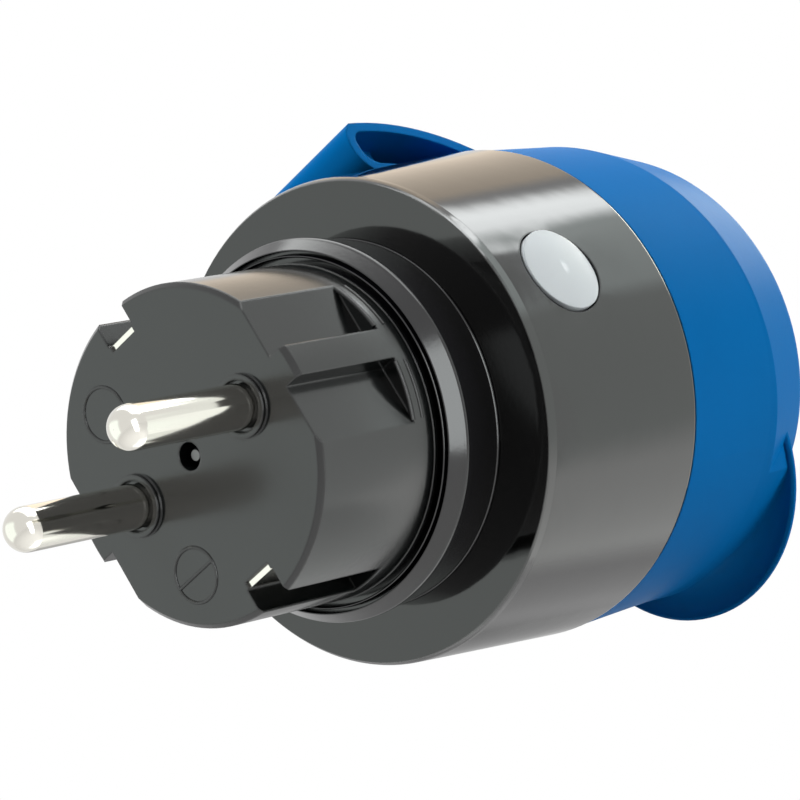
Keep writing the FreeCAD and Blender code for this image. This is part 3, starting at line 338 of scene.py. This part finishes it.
def moulded(title, colour, rough, grain=1200.0, relief=0.02, mottle=0.08, uneven=0.05,
            edge=0.25, metal=0.0, stretch=(1, 1, 1), milk=0.0, ior=1.5, wave=0.0):
    """Noise drives colour, gloss and relief; relief, edge and wave are in mm."""
    material = bpy.data.materials.new(title)
    material.use_nodes = True
    net = material.node_tree
    skin = net.nodes["Principled BSDF"]
    place = net.nodes.new("ShaderNodeTexCoord")
    scale = net.nodes.new("ShaderNodeMapping")
    scale.inputs["Scale"].default_value = stretch
    net.links.new(place.outputs["Object"], scale.inputs["Vector"])

    clouds = net.nodes.new("ShaderNodeTexNoise")
    clouds.inputs["Scale"].default_value = CLOUD_SCALE
    clouds.inputs["Detail"].default_value = CLOUD_DETAIL
    fine = net.nodes.new("ShaderNodeTexNoise")
    fine.inputs["Scale"].default_value = grain
    fine.inputs["Detail"].default_value = GRAIN_DETAIL
    for noise in (clouds, fine):
        net.links.new(scale.outputs[0], noise.inputs["Vector"])

    tint = net.nodes.new("ShaderNodeValToRGB")
    dark, light = tint.color_ramp.elements
    dark.position, light.position = CLOUD_LOW, CLOUD_HIGH
    dark.color = (*[c * (1 - mottle) for c in colour], 1)
    light.color = (*[min(1, c * (1 + mottle)) for c in colour], 1)
    net.links.new(clouds.outputs["Fac"], tint.inputs["Fac"])
    net.links.new(tint.outputs["Color"], skin.inputs["Base Color"])

    gloss = net.nodes.new("ShaderNodeMapRange")
    gloss.inputs["To Min"].default_value = max(SMOOTHEST, rough - uneven)
    gloss.inputs["To Max"].default_value = rough + uneven
    net.links.new(clouds.outputs["Fac"], gloss.inputs["Value"])
    net.links.new(gloss.outputs[0], skin.inputs["Roughness"])

    bevel = net.nodes.new("ShaderNodeBevel")
    bevel.name = "rounded edges"
    bevel.samples = EDGE_SAMPLES
    bevel.inputs["Radius"].default_value = edge * MM
    bump = net.nodes.new("ShaderNodeBump")
    bump.name = "grain"
    bump.inputs["Strength"].default_value = 1.0
    bump.inputs["Distance"].default_value = relief * MM
    net.links.new(fine.outputs["Fac"], bump.inputs["Height"])
    net.links.new(bevel.outputs[0], bump.inputs["Normal"])
    last = bump
    if wave:
        last = net.nodes.new("ShaderNodeBump")
        last.inputs["Distance"].default_value = wave * MM
        net.links.new(clouds.outputs["Fac"], last.inputs["Height"])
        net.links.new(bump.outputs[0], last.inputs["Normal"])
    net.links.new(last.outputs[0], skin.inputs["Normal"])

    skin.inputs["Metallic"].default_value = metal
    skin.inputs["Subsurface Weight"].default_value = milk
    skin.inputs["Subsurface Radius"].default_value = (MILK_DEPTH, MILK_DEPTH, MILK_DEPTH)
    skin.inputs["IOR"].default_value = ior
    return material


def dress(finish, *names):
    """Put one finish on the frame's pieces of these names."""
    for name in names:
        for place in nodes[name].material_slots:
            place.material = finish
    print(finish.name, "on", ", ".join(names))


print("helpers ready:", moulded.__name__, "and", dress.__name__)

# %% [markdown]
# ## Housing
# The housing is moulded in deep black and polished like a piano lid.  A pure mirror looks like
# glass, so the gloss has a faint grain, and a shallow wave stands for the sink marks that every
# thick moulding has: it makes the edges of reflections wander.

# %% Dress the housing
piano_black = moulded("piano_black", (0.002, 0.002, 0.002), 0.07, grain=500, relief=0.003,
                      uneven=0.02, ior=1.6, wave=0.05)
dress(piano_black, "main_housing")

# %% [markdown]
# The real housing's rear edge is crisp, and the solid has a small round there, which would gather
# every light into one thin line.  The solid stays as it is.  In a narrow zone round that edge the
# shading takes just two directions, straight back or straight out, as a sharp corner would.

# %% Crisp rear edge
CRISP_NEAR = 25.9
CRISP_FAR = 27.6
CRISP_REACH = 24.0
BACK_SHARE = 0.7


def crisp_edge(material):
    """Between two depths and outside a radius, a normal is straight back or straight out."""
    net = material.node_tree
    bevel = net.nodes["rounded edges"]
    place = net.nodes["Texture Coordinate"]
    where = net.nodes.new("ShaderNodeSeparateXYZ")
    net.links.new(place.outputs["Object"], where.inputs[0])
    x, y, z = where.outputs
    square = calc(net, "ADD", calc(net, "MULTIPLY", x, x), calc(net, "MULTIPLY", z, z))
    outside = calc(net, "GREATER_THAN", calc(net, "SQRT", square), CRISP_REACH * MM)
    between = calc(net, "MULTIPLY", calc(net, "GREATER_THAN", y, -CRISP_FAR * MM),
                   calc(net, "LESS_THAN", y, -CRISP_NEAR * MM))

    faces = net.nodes.new("ShaderNodeSeparateXYZ")
    net.links.new(bevel.outputs[0], faces.inputs[0])
    back = calc(net, "GREATER_THAN", faces.outputs["Y"], BACK_SHARE)
    out = calc(net, "SUBTRACT", 1.0, back)
    join = net.nodes.new("ShaderNodeCombineXYZ")
    net.links.new(calc(net, "MULTIPLY", faces.outputs["X"], out), join.inputs["X"])
    net.links.new(back, join.inputs["Y"])
    net.links.new(calc(net, "MULTIPLY", faces.outputs["Z"], out), join.inputs["Z"])
    unit = net.nodes.new("ShaderNodeVectorMath")
    unit.operation = "NORMALIZE"
    net.links.new(join.outputs[0], unit.inputs[0])

    choice = net.nodes.new("ShaderNodeMix")
    choice.data_type = "VECTOR"
    net.links.new(calc(net, "MULTIPLY", between, outside), choice.inputs["Factor"])
    net.links.new(bevel.outputs[0], choice.inputs[4])
    net.links.new(unit.outputs[0], choice.inputs[5])
    net.links.new(choice.outputs[1], net.nodes["grain"].inputs["Normal"])


crisp_edge(piano_black)
print("rear edge is crisp from", CRISP_NEAR, "to", CRISP_FAR, "mm")

# %% [markdown]
# ## Plug, ring and socket
# The plug and the ring behind it are the same black in a satin finish, so their reflections are
# blurred.  The socket under the lid comes from a coarser tool and is nearly matt.  The three differ
# in gloss more than in colour, which is how such parts tell apart on the real object too.

# %% Dress the black parts
satin_black = moulded("satin_black", (0.005, 0.006, 0.006), 0.17, grain=1500, relief=0.006,
                      uneven=0.04, edge=0.35, ior=1.6)
ring_black = moulded("ring_black", (0.003, 0.003, 0.004), 0.16, grain=1500, relief=0.006,
                     uneven=0.04, edge=0.08, ior=1.6)
dress(satin_black, "plug_body")
dress(ring_black, "plug_ring")
dress(moulded("socket_black", (0.018, 0.018, 0.020), 0.32, grain=1500, relief=0.015),
      "socket_insert", "socket_floor")

# %% [markdown]
# ## Lid
# The lid is dyed right through in a deep blue, and its surface is eroded to a dull silk.  With the
# usual refraction a white room would wash the blue out, so it is set very low: only the slanting
# front rim, seen at a flat angle, keeps a pale sheen.

# %% Dress the lid
dress(moulded("lid_blue", (0.0003, 0.130, 0.39), 0.38, grain=1500, relief=0.010, mottle=0.03,
              edge=0.35, ior=1.05), "lid")

# %% [markdown]
# ## Button
# The button is a white cap that lets the status light shine through, so light goes a little way
# into it.  A touch of subsurface scattering gives that milky look.

# %% Dress the button
dress(moulded("milky_white", (0.49, 0.53, 0.55), 0.28, grain=900, relief=0.003, mottle=0.01,
              uneven=0.01, milk=0.2), "button_cap")

# %% [markdown]
# ## Metal
# Pins and earth strips are nickel plated and drawn lengthwise, so their noise is stretched along
# the pins.  Hinge pin and spring are bright steel, and the contacts inside are plain brass.  The
# long screw is steel too, darkened as painted shade for the deep hole it sits in.

# %% Dress the metal outside
dress(moulded("nickel", (0.70, 0.68, 0.62), 0.12, grain=700, relief=0.004, mottle=0.04, metal=1.0,
              stretch=(1, 0.08, 1), edge=0.1),
      "pin_left", "pin_right", "earth_strip_top", "earth_strip_bottom")
dress(moulded("bright_steel", (0.45, 0.45, 0.45), 0.28, grain=900, relief=0.004, metal=1.0,
              edge=0.08), "hinge_pin", "hinge_spring")
# The screw's steel is darkened: painted shade for the deep hole in the plug's face that it sits in.
dress(moulded("screw_steel_painted_shade", (0.16, 0.16, 0.16), 0.35, grain=900, relief=0.004, metal=1.0,
              edge=0.08), "centre_screw")

# %% Dress the contacts
dress(moulded("contact_brass", (0.72, 0.55, 0.26), 0.3, grain=900, relief=0.006, metal=1.0,
              edge=0.1),
      "earth_spring_top", "earth_spring_bottom", "earth_bridge", "contact_left",
      "contact_right", "live_bar", "switched_bar")

# %% [markdown]
# ## Seals and electronics
# Most of these are out of sight until someone opens the model, and then each kind should be known
# by its usual colour: matt rubber, green boards, a yellow film capacitor, a tinned shield.

# %% Dress the inside
dress(moulded("seal_rubber", (0.020, 0.020, 0.021), 0.6, grain=2200, relief=0.03),
      "housing_seal", "button_seal", "lid_seal")
dress(moulded("board_green", (0.012, 0.11, 0.045), 0.35, grain=600, relief=0.02, mottle=0.3),
      "main_board", "control_board")
dress(moulded("relay_black", (0.02, 0.02, 0.025), 0.35), "relay", "push_switch", "choke")
dress(moulded("film_yellow", (0.62, 0.42, 0.05), 0.3), "film_capacitor")
dress(moulded("can_sleeve", (0.02, 0.03, 0.08), 0.25), "smoothing_capacitor")
dress(moulded("disc_blue", (0.03, 0.12, 0.35), 0.4), "thermal_fuse")
dress(moulded("shield_tin", (0.62, 0.62, 0.6), 0.3, metal=1.0), "radio_module")
dress(moulded("clear_light", (0.75, 0.78, 0.75), 0.15, milk=0.3), "status_led")
dress(moulded("plunger_red", (0.4, 0.04, 0.03), 0.35), "switch_plunger")

# %% [markdown]
# ## Grooved ring behind the plug
# The ring behind the plug has two deep grooves with a bead between them, and a broad cone that
# shines like a mirror.  The frame has its plain form.  A ring is a shape for a lathe: the
# cross-section is written once, as pairs of radius and depth in millimetres, and turned round the
# plug's axis.  Two close points at each end of the cone keep its shading straight.

# %% The ring's cross-section
RING_SECTION = (
    # inner groove
    (17.60, 18.32), (17.95, 18.32), (18.00, 19.70), (18.56, 19.70),
    # bead
    (18.62, 18.42), (18.68, 18.32), (18.75, 18.28), (18.82, 18.32), (18.88, 18.42),
    # outer groove
    (18.94, 19.60), (19.26, 19.60), (19.30, 18.46), (19.36, 18.36),
    # cone
    (19.44, 18.38), (19.49, 18.45), (20.35, 19.71), (20.40, 19.78),
    # ridge, then the side that narrows towards the housing
    (20.50, 19.90), (20.57, 20.03), (20.59, 20.15), (20.59, 20.40), (20.55, 20.60), (20.48, 20.85),
    # small lip on the housing, and the hidden back
    (19.86, 25.62), (19.84, 25.78), (19.90, 25.84), (19.96, 25.95), (19.94, 26.08), (19.86, 26.18),
    (17.60, 26.18))
print("the ring's section has", len(RING_SECTION), "points")

# %% Turn the ring
TURN_STEPS = 256
SHARP_ANGLE = 50


def turned(title, section, finish, body):
    """A closed cross-section of (radius, depth) turned round the plug's axis."""
    mesh = bpy.data.meshes.new(title)
    sheet = bmesh.new()
    rounds = []
    for step in range(TURN_STEPS):
        angle = 2 * math.pi * step / TURN_STEPS
        rounds.append([sheet.verts.new((radius * math.cos(angle) * MM, -depth * MM,
                                        radius * math.sin(angle) * MM))
                       for radius, depth in section])
    for step in range(TURN_STEPS):
        here, there = rounds[step], rounds[(step + 1) % TURN_STEPS]
        for number in range(len(section)):
            after = (number + 1) % len(section)
            sheet.faces.new((here[number], here[after], there[after], there[number]))
    bmesh.ops.recalc_face_normals(sheet, faces=sheet.faces)
    for face in sheet.faces:
        face.smooth = True
    sheet.to_mesh(mesh)
    sheet.free()
    mesh.set_sharp_from_angle(angle=math.radians(SHARP_ANGLE))
    mesh.materials.append(finish)
    item = bpy.data.objects.new(title, mesh)
    bpy.context.scene.collection.objects.link(item)
    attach(item, body)
    return item


grooved_ring = turned("grooved_ring", RING_SECTION, ring_black, "base")
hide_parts("plug_ring")
print("ring turned in", TURN_STEPS, "steps")

# %% [markdown]
# ## Fine lines on the plug
# Thin moulded lines catch the light on the plug: two round marks on its face, one plain and one
# with a bar across, a bead round its foot, and rims where its four flats end.  They could be
# painted with bump, but a real thread of plastic has a bright side and a dark side, so each is a
# swept line of round section, half sunk in the plug.

# %% Swept lines
LINE_FACETS = 3


def round_line(radius, depth, start=0.0, end=360.0, steps=96, middle=(0.0, 0.0)):
    """Points on a circle round the plug's axis, or round a place on its face."""
    angles = [math.radians(start + (end - start) * step / steps) for step in range(steps + 1)]
    return [(middle[0] + radius * math.cos(angle), -depth, middle[1] + radius * math.sin(angle))
            for angle in angles]


def swept(title, path, closed, thickness, finish, slot, body):
    """A thin round line along a path given in millimetres."""
    data = bpy.data.curves.new(title, "CURVE")
    data.dimensions = "3D"
    data.bevel_depth = thickness * MM
    data.bevel_resolution = LINE_FACETS
    spline = data.splines.new("POLY")
    spline.points.add(len(path) - 1)
    for spot, place in zip(spline.points, path):
        spot.co = (*[c * MM for c in place], 1)
    spline.use_cyclic_u = closed
    data.materials.append(finish)
    item = bpy.data.objects.new(title, data)
    bpy.context.scene.collection.objects.link(item)
    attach(item, body)


print("helpers ready:", round_line.__name__, "and", swept.__name__)

# %% Round marks
MARK_X = 7.3
MARK_HEIGHT = 10.0
MARK_RADIUS = 2.9
MARK_LINE = 0.2
MARK_SUNK = 0.02
for title, height in (("ring_mark_top", MARK_HEIGHT), ("ring_mark_bottom", -MARK_HEIGHT)):
    path = round_line(MARK_RADIUS, MARK_SUNK, middle=(MARK_X, height))[:-1]
    swept(title, path, True, MARK_LINE, satin_black, "plug_body", "base")
bar = [(MARK_X + reach, -MARK_SUNK, -MARK_HEIGHT) for reach in (-MARK_RADIUS, MARK_RADIUS)]
swept("bar_mark", bar, False, MARK_LINE, satin_black, "plug_body", "base")
print("round marks are", 2 * MARK_RADIUS, "mm across")

# %% Bead round the foot
FOOT_RADIUS = 17.98
FOOT_DEPTH = 17.80
FOOT_LINE = 0.12
FOOT_STEPS = 192
swept("foot_bead", round_line(FOOT_RADIUS, FOOT_DEPTH, steps=FOOT_STEPS)[:-1], True, FOOT_LINE,
      satin_black, "plug_body", "base")
print("bead at", FOOT_DEPTH, "mm")

# %% Rims at the ends of the flats
FLAT_LOW = 2.2
FLAT_HIGH = 8.2
RIM_STEPS = 24
RIMS = ((17.80, 15.00, 0.30), (17.96, 16.30, 0.20))
number = 0
for side in (0, 180):
    for up in (1, -1):
        for radius, depth, thickness in RIMS:
            start, end = (side + up * math.degrees(math.asin(height / radius))
                          for height in (FLAT_LOW, FLAT_HIGH))
            number += 1
            swept(f"flat_rim_{number}", round_line(radius, depth, start, end, RIM_STEPS), False,
                  thickness, satin_black, "plug_body", "base")
print(number, "rims at the ends of the flats")

# %% [markdown]
# ## Close the lesson
# The view transform is the plain one, so a colour renders about as it is written.

# %% Finish
bpy.context.scene.view_settings.view_transform = "Standard"
